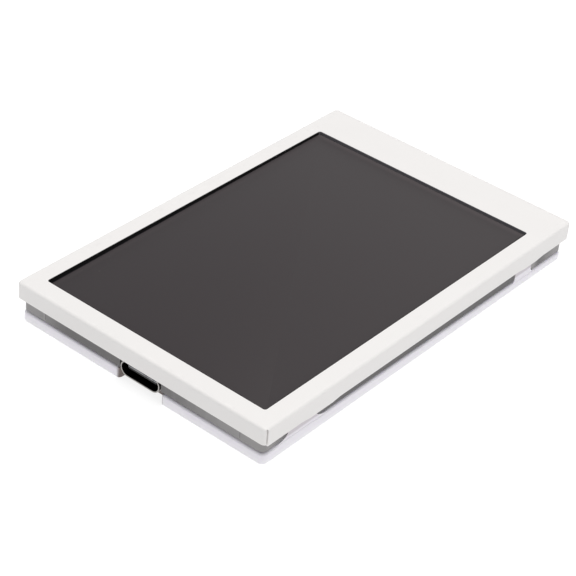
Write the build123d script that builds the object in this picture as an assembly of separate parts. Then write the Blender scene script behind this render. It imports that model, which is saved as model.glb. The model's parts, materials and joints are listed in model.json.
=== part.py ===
"""A pocket-size digital photo frame, lying on its back with the screen up.

Frame: origin at the centre of the flat back face, +X across the width, +Y along the length, away
from the USB port, and +Z out of the screen. All sizes are in millimetres.

The pieces stack along Z. A moulded rear tray carries a grey mid frame. The mid frame holds the
circuit board and the display module, and a folded steel bezel closes the front over both.
"""

from build123d import *
import math
import os

# Overall size
width = 57.2
length = 88.1
thickness = 8.2
half_width = width / 2
half_length = length / 2

# Front bezel: white painted sheet steel, folded down on all four sides
sheet = 0.5
bend_radius = 0.55
bezel_corner = 0.9
short_skirt_depth = 3.3
long_skirt_depth = 3.6
tab_drop = 0.26
tab_ramp = 2.2
tab_spans = ((-34.65, -24.65), (27.35, 35.45))
slit_width = 0.28
slit_from_end = 0.58
slit_top = thickness - 0.22

# Screen window and its black edge trim
window_width = 49.9
window_length = 74.5
window_y = -2.82
window_corner = 0.4
trim_wall = 0.12
trim_tape = 1.5
trim_below_face = 0.04

# Rear tray: milky moulded plastic
tray_inset = 0.65
tray_corner = 1.2
tray_rim_wall = 1.75
tray_floor = 1.0
cavity_corner = 0.6
rim_round = 0.45
foot_round = 0.25
# The rim's top rises from the port end to a peak, then falls slowly towards the far end.
rim_front = 2.05
rim_peak = 2.45
rim_peak_y = -37.65
rim_back = 1.55

# Posts that stand on the rim under the bezel's tabs. Each row is where the post starts and stops,
# and how far its foot runs out along the rim and rises, before it and after it.
post_rows = (
    (-37.25, -30.05, (2.4, 1.0), (2.9, 1.1)),
    (27.75, 32.95, (0.55, 0.55), (1.0, 1.0)),
)
post_inset = 0.75
post_depth = 0.75
post_base = 1.2
post_top = 4.95
post_room = 0.12
foot_sink = 0.02

# Notch in the tray for the socket
notch_half_width = 4.75
notch_depth = 2.7
notch_inner_round = 0.5
notch_outer_round = 0.9

# Blank label, sunk in the back so that it carries no weight
label_width = 30.0
label_length = 18.0
label_y = 12.0
label_recess = 0.2
label_thickness = 0.12
label_corner = 1.0
label_gap = 0.3

# Mid frame: grey moulded ring
frame_inset = 0.8
frame_corner = 1.1
frame_upstand = 0.65
frame_shelf_inset = 2.6
frame_top = 7.6
frame_chamfer = 0.4
rib_x = 22.45
rib_width = 0.45
rib_proud = 0.08
ledge_length = 6.0
ledge_height = 0.75

# Layers of the display module, from the front down
sealing_tape = 0.12
panel_top = thickness - sheet - sealing_tape
polariser = 0.1
glass = 0.4
film = 0.08
diffuser = 0.1
light_guide = 0.55
reflector = 0.1
steel = 0.2
module_bottom = panel_top - 3 * polariser - 2 * glass - 2 * film - light_guide - reflector - steel
frame_shelf_top = module_bottom

# Outlines of the display module. It sits a little towards the port end.
module_x = 54.0
module_front = -42.35
module_back = 41.05
module_y = (module_front + module_back) / 2
module_length = module_back - module_front
glass_x = 52.6
glass_front = -41.35
array_back = 40.75
filter_back = 36.25
active_x = 51.2
active_front = -40.75
active_back = 35.85
guide_back = 38.05
film_gap = 0.1
driver_width = 20.0
driver_length = 1.2
driver_height = 0.28
foam_width = 8.0
foam_x = 17.0
foam_front = -34.0
foam_back = 30.0

# Backlight: a row of white lamps along the far edge of the light guide
led_count = 6
led_x = 3.8
led_y = 0.8
led_z = 0.45
led_flex_thickness = 0.1

# Circuit board and what it carries
board_top = 4.8
board_thickness = 0.8
board_bottom = board_top - board_thickness
board_width = 51.2
board_length = 82.0
port_x = 0.45
port_face_inset = 0.65
port_width = 8.94
port_height = 3.16
port_depth = 7.35
port_wall = 0.25
port_centre_z = 3.03
tongue_width = 6.69
tongue_height = 0.7
tongue_round = 0.15
tongue_inset = 0.6
carrier_depth = 2.4
contact_count = 12
contact_pitch = 0.5
contact_width = 0.26
contact_proud = 0.05
contact_start = 1.7
contact_end = 4.6

# Fasteners: M2 self-tapping screws at the corners
screw_x = 23.2
screw_y = 38.4
screw_radius = 1.0
pilot_radius = 0.8
head_radius = 1.8
head_height = 0.9
head_recess = 1.1
clearance_radius = 1.1
column_radius = 2.3
column_blind_top = 4.8
shank_top = 4.2
tip_length = 0.5
head_round = 0.35
cross_length = 2.0
cross_width = 0.42
cross_depth = 0.5

# Rear key and the switch that it presses
key_x = 14.0
key_y = -30.0
key_radius = 1.3
key_gap = 0.06
key_flange_radius = 2.0
key_flange = 0.35
key_recess = 0.3
key_seat_gap = 0.03
nub_radius = 0.6
switch_height = 1.7
switch_width = 4.2
switch_length = 3.2
plunger_radius = 0.85
plunger_room = 0.05
plunger_tip = tray_floor + key_flange + 0.35

# Flex connector on the underside of the board
flex_width = 12.0
flex_thickness = 0.12
flex_z = 3.61
flex_bend = 0.45
flex_side_room = 0.8
connector_width = 15.0
connector_back = 36.0
connector_front = 39.4
connector_height = 1.25
latch_axis_y = 37.95
latch_axis_z = 3.15
latch_hub = 0.3
latch_tip_y = 39.3
latch_pin_radius = 0.2
latch_gap = 0.1
cheek_width = 0.8
cheek_front = 37.4
connector_pins = 22
connector_pitch = 0.5

# Small parts on the underside of the board: each row is x, y and how many stand side by side
passive_rows = (
    (-16.0, -20.0, 5), (6.0, -18.0, 4), (10.0, 6.0, 5), (-18.0, 16.0, 4),
)
passive_pitch = 1.9
lead_width = 0.4
lead_thickness = 0.16

UP = (Align.CENTER, Align.CENTER, Align.MIN)


def span(x0, x1, y0, y1, z0, z1):
    """A box between two corners."""
    box = Box(x1 - x0, y1 - y0, z1 - z0, align=(Align.MIN, Align.MIN, Align.MIN))
    return Pos(x0, y0, z0) * box


def slab(size_x, size_y, z0, z1, corner=0.0, y=0.0, x=0.0):
    """A flat plate centred on x, y, with rounded upright corners."""
    plate = Box(size_x, size_y, z1 - z0, align=UP)
    if corner:
        plate = fillet(plate.edges().filter_by(Axis.Z), corner)
    return Pos(x, y, z0) * plate


def ring(outer, inner, z0, z1, outer_corner=0.0, inner_corner=0.0, y=0.0):
    """A rectangular ring: outer and inner are (x, y) sizes."""
    body = slab(*outer, z0, z1, outer_corner, y)
    return body - slab(*inner, z0 - 1, z1 + 1, inner_corner, y)


def inset_size(inset):
    return width - 2 * inset, length - 2 * inset


def rod(x, y, z0, z1, radius):
    return Pos(x, y, z0) * Cylinder(radius, z1 - z0, align=UP)


def cross_rod(x0, x1, y, z, radius):
    """A round bar along X."""
    bar = Cylinder(radius, x1 - x0, align=UP)
    return Pos(x0, y, z) * Rot(0, 90, 0) * bar


def corners(x, y):
    return [(sx * x, sy * y) for sx in (-1, 1) for sy in (-1, 1)]


def save(name, shape):
    """Writes one node. A list of shapes is a group of separate solids."""
    if isinstance(shape, list):
        shape = Compound(children=[solid for item in shape for solid in item.solids()])
    export_step(shape, f"parts/{name}.step")


# --- Casing ---------------------------------------------------------------------------------


def tab_outline(start, end):
    """A shallow tab with long ramped ends, in the YZ plane, below the long skirt's edge."""
    edge = thickness - long_skirt_depth
    return [
        (start, edge + sheet),
        (start, edge),
        (start + tab_ramp, edge - tab_drop),
        (end - tab_ramp, edge - tab_drop),
        (end, edge),
        (end, edge + sheet),
    ]


def prism_along_x(outline, x0, x1):
    """A prism with its outline in Y and Z."""
    face = make_face(Polyline([(0, y, z) for y, z in outline], close=True))
    return Pos(x0, 0, 0) * extrude(face, x1 - x0, dir=(1, 0, 0))


def front_bezel():
    long_edge = thickness - long_skirt_depth
    short_edge = thickness - short_skirt_depth
    outer = slab(width, length, long_edge, thickness, bezel_corner)
    outer = fillet(outer.faces().sort_by(Axis.Z)[-1].edges(), bend_radius)
    inner = slab(*inset_size(sheet), long_edge - 1, thickness - sheet, bezel_corner - sheet)
    inner = fillet(inner.faces().sort_by(Axis.Z)[-1].edges(), bend_radius - sheet)
    shell = outer - inner
    window = slab(window_width + 2 * trim_wall, window_length + 2 * trim_wall,
                  thickness - 2 * sheet, thickness + 1, window_corner + trim_wall, window_y)
    shell = shell - window
    end = half_length - slit_from_end
    for side in (-1, 1):
        # The short flange wraps the corner as far as the slit, and is shorter than the long one.
        shell -= span(-width, width, *sorted((side * end, side * length)), long_edge - 1, short_edge)
        for start, stop in tab_spans:
            x0, x1 = sorted((side * (half_width - sheet), side * half_width))
            shell += prism_along_x(tab_outline(start, stop), x0, x1)
    for x, y in corners(half_width, end):
        shell -= span(x - 2 * sheet, x + 2 * sheet, y - slit_width / 2, y + slit_width / 2,
                      long_edge - 1, slit_top)
    return shell


def window_trim():
    """Black edge trim: tape under the sheet, with a thin wall that lines the window's cut edge."""
    inner = (window_width, window_length)
    outer = (window_width + 2 * trim_tape, window_length + 2 * trim_tape)
    tape = ring(outer, inner, panel_top, thickness - sheet, 0, window_corner, window_y)
    lined = (window_width + 2 * trim_wall, window_length + 2 * trim_wall)
    wall = ring(lined, inner, thickness - sheet, thickness - trim_below_face,
                window_corner + trim_wall, window_corner, window_y)
    return tape + wall


def is_ridge(edge):
    """True for the line across the tray where the two slopes of its rim meet."""
    return abs(edge.center().Y - rim_peak_y) < 0.01


def rim_top(y):
    """The height of the rim's top at a place along the tray."""
    end = half_length - tray_inset
    if y < rim_peak_y:
        return rim_peak + (rim_front - rim_peak) * (rim_peak_y - y) / (rim_peak_y + end)
    return rim_peak + (rim_back - rim_peak) * (y - rim_peak_y) / (end - rim_peak_y)


def post_outline(start, stop, before, after):
    """The side view of a post, with a hollow curved foot at each end. It is a face across X."""
    first, last = start - before[0], stop + after[0]
    first_z, last_z = rim_top(first) - foot_sink, rim_top(last) - foot_sink
    low_foot = TangentArc((0, first, first_z), (0, start, first_z + before[1]), tangent=(0, 1, 0))
    high_foot = TangentArc((0, last, last_z), (0, stop, last_z + after[1]), tangent=(0, -1, 0))
    upper = Polyline((0, start, first_z + before[1]), (0, start, post_top), (0, stop, post_top),
                     (0, stop, last_z + after[1]))
    lower = Polyline((0, last, last_z), (0, last, post_base), (0, first, post_base),
                     (0, first, first_z))
    return make_face([*low_foot.edges(), *upper.edges(), *high_foot.edges(), *lower.edges()])


def posts(room):
    """Upright posts under the bezel's tabs, grown by room."""
    pieces = []
    for start, stop, before, after in post_rows:
        outline = Pos(0, 0, room) * post_outline(start - room, stop + room, before, after)
        for side in (-1, 1):
            x0 = min(side * (half_width - post_inset + room),
                     side * (half_width - post_inset - post_depth - room))
            pieces.append(Pos(x0, 0, 0) * extrude(outline, post_depth + 2 * room, dir=(1, 0, 0)))
    return pieces


def ribs():
    """Thin upright ribs near the corners of the mid frame's two short faces."""
    pieces = []
    for side in (-1, 1):
        face = half_length - frame_inset
        y0, y1 = sorted((side * (face + rib_proud), side * (face - rib_width)))
        for x in (-rib_x, rib_x):
            pieces.append(span(x - rib_width / 2, x + rib_width / 2, y0, y1,
                               rim_peak + frame_chamfer, post_top))
    return pieces


def port_notch(z0, z1):
    """The cut that lets the USB socket reach the outside through a wall at the port end."""
    return span(port_x - notch_half_width, port_x + notch_half_width,
                -half_length - 1, notch_depth - half_length, z0, z1)


def tray_notch():
    """The socket's notch in the tray, whose outer wall turns in with rounded corners."""
    notch = port_notch(-1, thickness)
    notch = fillet(notch.edges().filter_by(Axis.Z), notch_inner_round)
    face = tray_inset - half_length
    for side in (-1, 1):
        edge = port_x + side * notch_half_width
        middle = edge + side * notch_outer_round
        flare = span(*sorted((edge, middle)), face - 1, face + notch_outer_round, -1, thickness)
        notch += flare - rod(middle, face + notch_outer_round, -1, thickness, notch_outer_round)
    return notch


def above_rim():
    """Everything above the line where the tray's rim meets the mid frame."""
    end = half_length - tray_inset
    slope = (rim_back - rim_peak) / (end - rim_peak_y)
    outline = [
        (-end - 1, rim_front),
        (-end, rim_front),
        (rim_peak_y, rim_peak),
        (end + 1, rim_back + slope),
        (end + 1, thickness),
        (-end - 1, thickness),
    ]
    return prism_along_x(outline, -width, width)


def rear_tray():
    outer = slab(*inset_size(tray_inset), 0, rim_peak + 1, tray_corner) - above_rim()
    rim_edges = outer.edges().filter_by(lambda edge: edge.center().Z > foot_round + 0.5)
    rim_edges = rim_edges.filter_by(lambda edge: abs(edge.tangent_at(0.5).Z) < 0.5)
    rim_edges = rim_edges.filter_by(lambda edge: not is_ridge(edge))
    outer = fillet(rim_edges, rim_round)
    outer = fillet(outer.faces().sort_by(Axis.Z)[0].edges(), foot_round)
    cavity = slab(*inset_size(tray_inset + tray_rim_wall), tray_floor, thickness, cavity_corner)
    tray = outer - cavity
    for x, y in corners(screw_x, screw_y):
        tray += rod(x, y, tray_floor - 0.5, thickness, column_radius) - above_rim()
    tray += rod(key_x, key_y, tray_floor - 0.5, tray_floor + 0.15, key_flange_radius + 0.9)
    for post in posts(0):
        tray += post
    for x, y in corners(screw_x, screw_y):
        tray -= rod(x, y, -1, head_recess, head_radius + 0.2)
        tray -= rod(x, y, -1, rim_peak + 1, clearance_radius)
    tray -= rod(key_x, key_y, -1, tray_floor + 1, key_radius + key_gap)
    tray -= rod(key_x, key_y, tray_floor, tray_floor + 1, key_flange_radius + 0.2)
    tray -= slab(label_width + 2 * label_gap, label_length + 2 * label_gap, -1, label_recess,
                 label_corner + label_gap, label_y)
    return tray - tray_notch()


def rear_label():
    return slab(label_width, label_length, label_recess - label_thickness, label_recess,
                label_corner, label_y)


def mid_frame():
    above = above_rim()
    outer = slab(*inset_size(frame_inset), 0, frame_top, frame_corner) & above
    low_edges = outer.edges().filter_by(lambda edge: edge.center().Z < rim_peak + 0.1)
    low_edges = low_edges.filter_by(lambda edge: abs(edge.tangent_at(0.5).Z) < 0.5)
    outer = chamfer(low_edges.filter_by(lambda edge: not is_ridge(edge)), frame_chamfer)
    body = outer - slab(*inset_size(frame_shelf_inset), 0, frame_top + 1, 0.8)
    upper = slab(*inset_size(frame_inset + frame_upstand), frame_shelf_top, frame_top + 1, 0.5)
    body -= upper
    for x, y in corners(screw_x, screw_y):
        sx, sy = math.copysign(1, x), math.copysign(1, y)
        corner = (sx * (half_width - 1.5), sy * (half_length - 1.5))
        xs, ys = sorted((x, corner[0])), sorted((y, corner[1]))
        column = rod(x, y, 0, frame_shelf_top, column_radius)
        column += span(*xs, *sorted((y - sy * 1.8, corner[1])), 0, frame_shelf_top)
        column += span(*sorted((x - sx * 1.8, corner[0])), *ys, 0, frame_shelf_top)
        body += column & above
    # Small ledges under the board's long edges.
    for side in (-1, 1):
        for y in (-24.0, 0.0, 24.0):
            x0, x1 = sorted((side * (half_width - 4.0), side * (half_width - 1.6)))
            body += span(x0, x1, y - ledge_length / 2, y + ledge_length / 2,
                         board_bottom - ledge_height, board_bottom)
    for x, y in corners(screw_x, screw_y):
        body -= rod(x, y, 0, column_blind_top, pilot_radius)
    for pocket in posts(post_room):
        body -= pocket
    for rib in ribs():
        body += rib
    body -= port_notch(0, board_top + 0.1)
    # Room for the display's flex to pass down the far end.
    flex_half = flex_width / 2 + flex_side_room
    body -= span(-flex_half, flex_half, 40, half_length - frame_inset - frame_upstand,
                 0, frame_shelf_top + 1)
    return body


def case_screws():
    screws = []
    for x, y in corners(screw_x, screw_y):
        head_base = head_recess - head_height
        screw = rod(x, y, head_base, head_recess, head_radius)
        screw = fillet(screw.faces().sort_by(Axis.Z)[0].edges(), head_round)
        screw += rod(x, y, head_recess, shank_top, screw_radius)
        screw += Pos(x, y, shank_top) * Cone(screw_radius, screw_radius / 2, tip_length, align=UP)
        for turn in (0, 90):
            arm = Box(cross_length, cross_width, 2 * cross_depth, align=UP)
            screw -= Pos(x, y, head_base - cross_depth) * Rot(0, 0, turn) * arm
        screws.append(screw)
    return screws


# --- Display module -------------------------------------------------------------------------


def layer(size_x, y0, y1, top, depth):
    """A flat sheet of the display stack, from its top face down."""
    return span(-size_x / 2, size_x / 2, y0, y1, top - depth, top)


def stack_tops():
    """The top height of each layer, worked down from the panel's face."""
    names = ("top_polariser", "colour_filter_glass", "array_glass", "rear_polariser",
             "prism_film_upper", "prism_film_lower", "diffuser_film", "light_guide_plate",
             "reflector_film", "backlight_tray")
    depths = (polariser, glass, glass, polariser, film, film, diffuser, light_guide, reflector,
              steel)
    tops, height = {}, panel_top
    for name, depth in zip(names, depths):
        tops[name] = (height, depth)
        height -= depth
    return tops


stack = stack_tops()
guide_top = stack["light_guide_plate"][0]
tray_top, tray_depth = stack["backlight_tray"]
array_bottom = stack["array_glass"][0] - glass


def panel_layers():
    """The glass, polarisers, films and light guide, each its own node."""
    ends = {
        "top_polariser": (active_x, active_front, active_back),
        "colour_filter_glass": (glass_x, glass_front, filter_back),
        "array_glass": (glass_x, glass_front, array_back),
        "rear_polariser": (active_x, active_front, active_back),
        "prism_film_upper": (active_x, active_front, active_back),
        "prism_film_lower": (active_x, active_front, active_back),
        "diffuser_film": (active_x, active_front, active_back),
        "light_guide_plate": (active_x, active_front, guide_back),
        "reflector_film": (active_x, active_front, guide_back),
    }
    return {name: layer(*ends[name], *stack[name]) for name in ends}


def backlight_frame():
    """White moulded ring round the films, which carries the array glass."""
    outer_x, outer_length = module_x - 0.5, module_length - 0.5
    body = slab(outer_x, outer_length, tray_top, array_bottom, 0.4, module_y)
    half = active_x / 2 + film_gap
    opening = span(-half, half, active_front - film_gap, active_back + film_gap,
                   tray_top - 1, array_bottom + 1)
    light_bar = span(-half, half, active_back, array_back - 0.7, tray_top - 1, guide_top + 0.02)
    return body - opening - light_bar


def backlight_tray():
    """Pressed steel tray: a floor with low sides."""
    bottom = tray_top - tray_depth
    body = slab(module_x, module_length, bottom, array_bottom - 0.2, 0.6, module_y)
    hollow = slab(module_x - 2 * steel, module_length - 2 * steel, tray_top, thickness, 0.45,
                  module_y)
    return body - hollow


def backlight_leds():
    pitch = active_x / led_count
    first = -pitch * (led_count - 1) / 2
    y0 = guide_back + film_gap
    foot = tray_top + led_flex_thickness
    return [
        span(first + i * pitch - led_x / 2, first + i * pitch + led_x / 2, y0, y0 + led_y,
             foot, foot + led_z)
        for i in range(led_count)
    ]


def led_flex():
    return span(-active_x / 2 + 0.5, active_x / 2 - 0.5, guide_back + film_gap, array_back - 0.9,
                tray_top, tray_top + led_flex_thickness)


def driver_chip():
    """Bare driver chip bonded to the ledge of the array glass."""
    top = stack["array_glass"][0]
    front = filter_back + 0.35
    return span(-driver_width / 2, driver_width / 2, front, front + driver_length,
                top, top + driver_height)


def display_flex():
    """The display's flat flex: off the glass ledge, round the module's end and into its connector."""
    top = stack["array_glass"][0] + flex_thickness / 2
    drop_y = half_length - frame_inset - frame_upstand - flex_bend
    route = FilletPolyline(
        (0, array_back - 2.2, top),
        (0, drop_y, top),
        (0, drop_y, flex_z),
        (0, connector_back + 1.6, flex_z),
        radius=flex_bend,
    )
    section = Plane((0, array_back - 2.2, top), x_dir=(1, 0, 0), z_dir=(0, 1, 0))
    return sweep(section * Rectangle(flex_width, flex_thickness), path=route)


def foam_pads():
    """Two strips of foam tape that hold the module to the board."""
    return [
        span(x - foam_width / 2, x + foam_width / 2, foam_front, foam_back,
             board_top, tray_top - tray_depth)
        for x in (-foam_x, foam_x)
    ]


# --- Circuit board --------------------------------------------------------------------------


def main_board():
    board = slab(board_width, board_length, board_bottom, board_top, 0.8)
    for x, y in corners(screw_x, screw_y):
        board -= rod(x, y, 0, thickness, column_radius + 0.3)
        sx, sy = math.copysign(1, x), math.copysign(1, y)
        edge = column_radius + 0.3
        board -= span(*sorted((x - sx * 2.1, sx * 40)), *sorted((y, sy * 60)), 0, thickness)
        board -= span(*sorted((x, sx * 40)), *sorted((y - sy * 2.1, sy * 60)), 0, thickness)
        board -= span(*sorted((x - sx * edge, sx * 40)), *sorted((y + sy, sy * 60)), 0, thickness)
    half = port_width / 2 + 0.15
    board -= span(port_x - half, port_x + half, -board_length, port_back() + 0.2, 0, thickness)
    # The far edge stops short so that the flex can pass round it.
    board -= span(-flex_width, flex_width, board_length / 2 - 0.6, board_length, 0, thickness)
    return board


def port_front():
    return -half_length + port_face_inset


def port_back():
    return port_front() + port_depth


def stadium(size_x, size_z, y0, y1):
    """A bar along Y with a stadium-shaped section, centred on the port."""
    plane = Plane((port_x, y0, port_centre_z), x_dir=(1, 0, 0), z_dir=(0, 1, 0))
    return extrude(plane * SlotOverall(size_x, size_z), y1 - y0)


def usb_shell():
    """Drawn steel shell, open at the front, with a closed back and four solder wings."""
    outer = stadium(port_width, port_height, port_front(), port_back())
    inner = stadium(port_width - 2 * port_wall, port_height - 2 * port_wall,
                    port_front() - 1, port_back() - port_wall)
    shell = outer - inner
    wing_top = board_top + 0.2
    for side in (-1, 1):
        near, bend, tip = (port_x + side * offset for offset in (3.9, 4.2, 5.6))
        for y in (port_front() + 2.6, port_front() + 5.2):
            shell += span(*sorted((near, bend)), y, y + 1.2, board_bottom - 0.1, wing_top)
            shell += span(*sorted((near, tip)), y, y + 1.2, board_top, wing_top)
    return shell


def usb_tongue():
    """Moulded contact carrier: a block at the back with the tongue standing out of it."""
    inner = (port_width - 2 * port_wall - 0.04, port_height - 2 * port_wall - 0.04)
    block = stadium(*inner, port_back() - carrier_depth, port_back() - port_wall)
    half = tongue_width / 2
    tongue = span(port_x - half, port_x + half, port_front() + tongue_inset,
                  port_back() - carrier_depth,
                  port_centre_z - tongue_height / 2, port_centre_z + tongue_height / 2)
    tongue = fillet(tongue.edges().filter_by(Axis.Y), tongue_round)
    return block + tongue


def usb_contacts():
    """Two rows of gold contacts on the faces of the tongue."""
    pieces = []
    for i in range(contact_count):
        x = port_x + (i - (contact_count - 1) / 2) * contact_pitch
        for side in (-1, 1):
            face = port_centre_z + side * tongue_height / 2
            z0, z1 = sorted((face, face + side * contact_proud))
            pieces.append(span(x - contact_width / 2, x + contact_width / 2,
                               port_front() + contact_start, port_front() + contact_end, z0, z1))
    return pieces


def chip(x, y, size_x, size_y, height, corner=0.0):
    """A component that hangs from the underside of the board."""
    return slab(size_x, size_y, board_bottom - height, board_bottom, corner, y, x)


def microcontroller():
    body = chip(-6.0, -10.0, 7.0, 7.0, 0.85)
    return chamfer(body.faces().sort_by(Axis.Z)[0].edges(), 0.12)


def gull_wing_package(x, y, size_x, size_y, height, leads, pitch):
    """A moulded package and its leads, which run out along X on both sides."""
    body = span(x - size_x / 2, x + size_x / 2, y - size_y / 2, y + size_y / 2,
                board_bottom - height, board_bottom - 0.1)
    half, root, toe = size_x / 2, size_x / 2 + 0.35, size_x / 2 + 0.9
    middle = board_bottom - height / 2
    legs = []
    for i in range(leads):
        y0 = y + (i - (leads - 1) / 2) * pitch - lead_width / 2
        y1 = y0 + lead_width
        for side in (-1, 1):
            shoulder = span(*sorted((x + side * half, x + side * (root + lead_thickness))), y0, y1,
                            middle - lead_thickness / 2, middle + lead_thickness / 2)
            riser = span(*sorted((x + side * root, x + side * (root + lead_thickness))), y0, y1,
                         middle - lead_thickness / 2, board_bottom)
            foot = span(*sorted((x + side * root, x + side * toe)), y0, y1,
                        board_bottom - lead_thickness, board_bottom)
            legs.append(shoulder + riser + foot)
    return body, legs


def chip_passives(size, offset):
    """Rows of small chip parts, all of one size, moved along Y by offset."""
    size_x, size_y, height = size
    return [
        chip(x + i * passive_pitch, y + offset, size_x, size_y, height)
        for x, y, count in passive_rows for i in range(count)
    ]


def power_inductor():
    body = chip(15.5, -14.0, 4.0, 4.0, 1.8, 0.9)
    return chamfer(body.faces().sort_by(Axis.Z)[0].edges(), 0.3)


def crystal():
    return chip(-14.5, -10.0, 3.2, 2.5, 0.7, 0.3)


def status_led():
    return chip(-18.0, -36.5, 1.6, 0.8, 0.6)


# Flex connector: body, contacts and flip latch


def connector_body():
    half = connector_width / 2
    bottom = board_bottom - connector_height
    back = span(-half, half, connector_back, cheek_front, bottom, board_bottom)
    deck = span(-half, half, cheek_front, connector_front, flex_z + flex_thickness, board_bottom)
    body = back + deck
    for side in (-1, 1):
        x0, x1 = sorted((side * half, side * (half - cheek_width)))
        body += span(x0, x1, cheek_front, connector_front - 0.4, bottom, board_bottom)
    slot = flex_width / 2 + latch_gap
    body -= span(-slot, slot, connector_back + 1.2, cheek_front + 0.6, flex_z - 0.14,
                 flex_z + flex_thickness)
    pins = half - 0.5
    body -= cross_rod(-pins, pins, latch_axis_y, latch_axis_z, latch_pin_radius + 0.03)
    return body


def connector_latch():
    """Flip latch, closed: it lies across the mouth and turns down and away from the board."""
    half = connector_width / 2 - cheek_width - latch_gap
    hub = cross_rod(-half, half, latch_axis_y, latch_axis_z, latch_hub)
    plate = span(-half, half, latch_axis_y, latch_tip_y, latch_axis_z - latch_hub,
                 latch_axis_z + 0.15)
    pins = connector_width / 2 - 0.55
    pin = cross_rod(-pins, pins, latch_axis_y, latch_axis_z, latch_pin_radius)
    return hub + plate + pin


def connector_contacts():
    first = -connector_pitch * (connector_pins - 1) / 2
    return [
        span(x - 0.1, x + 0.1, connector_back - 0.6, connector_back, board_bottom - 0.15,
             board_bottom)
        for x in (first + i * connector_pitch for i in range(connector_pins))
    ]


# Rear key, switch body and plunger


def rear_key():
    """Round key in the back: a stem in the tray's hole, and a flange that keeps it in."""
    seat = tray_floor + key_seat_gap
    stem = rod(key_x, key_y, key_recess, seat, key_radius)
    stem = fillet(stem.faces().sort_by(Axis.Z)[0].edges(), 0.2)
    flange = rod(key_x, key_y, seat, seat + key_flange, key_flange_radius)
    nub = rod(key_x, key_y, seat, plunger_tip, nub_radius)
    return stem + flange + nub


def switch_body():
    body = chip(key_x, key_y, switch_width, switch_length, switch_height)
    bore = rod(key_x, key_y, 0, board_bottom - 0.35, plunger_radius + plunger_room)
    return body - bore


def switch_plunger():
    # Its inner end stops clear of the switch's floor by more than its travel.
    return rod(key_x, key_y, plunger_tip, board_bottom - 0.75, plunger_radius)


def main():
    os.makedirs("parts", exist_ok=True)
    save("front_bezel", front_bezel())
    save("window_trim", window_trim())
    for name, shape in panel_layers().items():
        save(name, shape)
    save("driver_chip", driver_chip())
    save("display_flex", display_flex())
    save("backlight_frame", backlight_frame())
    save("backlight_tray", backlight_tray())
    save("backlight_leds", backlight_leds())
    save("led_flex", led_flex())
    save("foam_pads", foam_pads())
    save("mid_frame", mid_frame())
    save("main_board", main_board())
    save("usb_shell", usb_shell())
    save("usb_tongue", usb_tongue())
    save("usb_contacts", usb_contacts())
    save("microcontroller", microcontroller())
    flash_body, flash_leads = gull_wing_package(-15.0, 2.0, 3.9, 4.9, 1.4, 4, 1.27)
    save("flash_memory", flash_body)
    save("flash_leads", flash_leads)
    regulator_body, regulator_leads = gull_wing_package(14.5, -21.5, 1.6, 2.9, 1.1, 2, 1.9)
    save("voltage_regulator", regulator_body)
    save("regulator_leads", regulator_leads)
    save("backlight_driver", chip(3.0, 26.0, 3.0, 3.0, 0.75))
    save("power_inductor", power_inductor())
    save("crystal", crystal())
    save("chip_capacitors", chip_passives((1.0, 0.5, 0.5), 0.0))
    save("chip_resistors", chip_passives((1.0, 0.5, 0.35), 2.0))
    save("status_led", status_led())
    save("connector_body", connector_body())
    save("connector_latch", connector_latch())
    save("connector_contacts", connector_contacts())
    save("switch_body", switch_body())
    save("switch_plunger", switch_plunger())
    save("rear_key", rear_key())
    save("rear_tray", rear_tray())
    save("rear_label", rear_label())
    save("case_screws", case_screws())


main()
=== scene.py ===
import json
import math

import bmesh
import bpy
from mathutils import Matrix, Vector


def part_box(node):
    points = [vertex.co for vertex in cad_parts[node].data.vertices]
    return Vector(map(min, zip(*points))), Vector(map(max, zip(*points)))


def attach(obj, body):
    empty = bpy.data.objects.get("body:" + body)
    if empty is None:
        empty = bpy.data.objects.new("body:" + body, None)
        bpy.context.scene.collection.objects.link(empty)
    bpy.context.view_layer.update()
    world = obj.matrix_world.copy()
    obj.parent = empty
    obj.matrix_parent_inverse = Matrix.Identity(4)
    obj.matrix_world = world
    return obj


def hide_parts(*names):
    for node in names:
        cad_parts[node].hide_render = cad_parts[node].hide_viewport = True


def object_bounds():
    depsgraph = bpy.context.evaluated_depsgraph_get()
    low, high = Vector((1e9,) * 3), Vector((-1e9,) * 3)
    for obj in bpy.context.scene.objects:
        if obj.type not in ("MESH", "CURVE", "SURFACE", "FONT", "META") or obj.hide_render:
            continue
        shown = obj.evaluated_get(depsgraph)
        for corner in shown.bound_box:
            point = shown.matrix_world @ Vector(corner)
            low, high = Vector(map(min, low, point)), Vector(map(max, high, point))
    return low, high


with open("model.json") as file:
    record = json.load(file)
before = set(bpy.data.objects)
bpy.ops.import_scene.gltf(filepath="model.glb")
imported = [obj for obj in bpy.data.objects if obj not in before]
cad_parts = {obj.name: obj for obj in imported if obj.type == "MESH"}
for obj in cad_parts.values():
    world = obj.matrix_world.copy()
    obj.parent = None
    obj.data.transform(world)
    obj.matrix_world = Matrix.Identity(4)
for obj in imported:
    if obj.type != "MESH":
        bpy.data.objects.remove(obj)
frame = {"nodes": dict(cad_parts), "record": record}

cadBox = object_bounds()
mm = 0.001
nodes = frame["nodes"]
print("frame loaded:", len(nodes), "nodes")


# finishes: a wire carries a value or a colour, and a finish is one material

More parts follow.
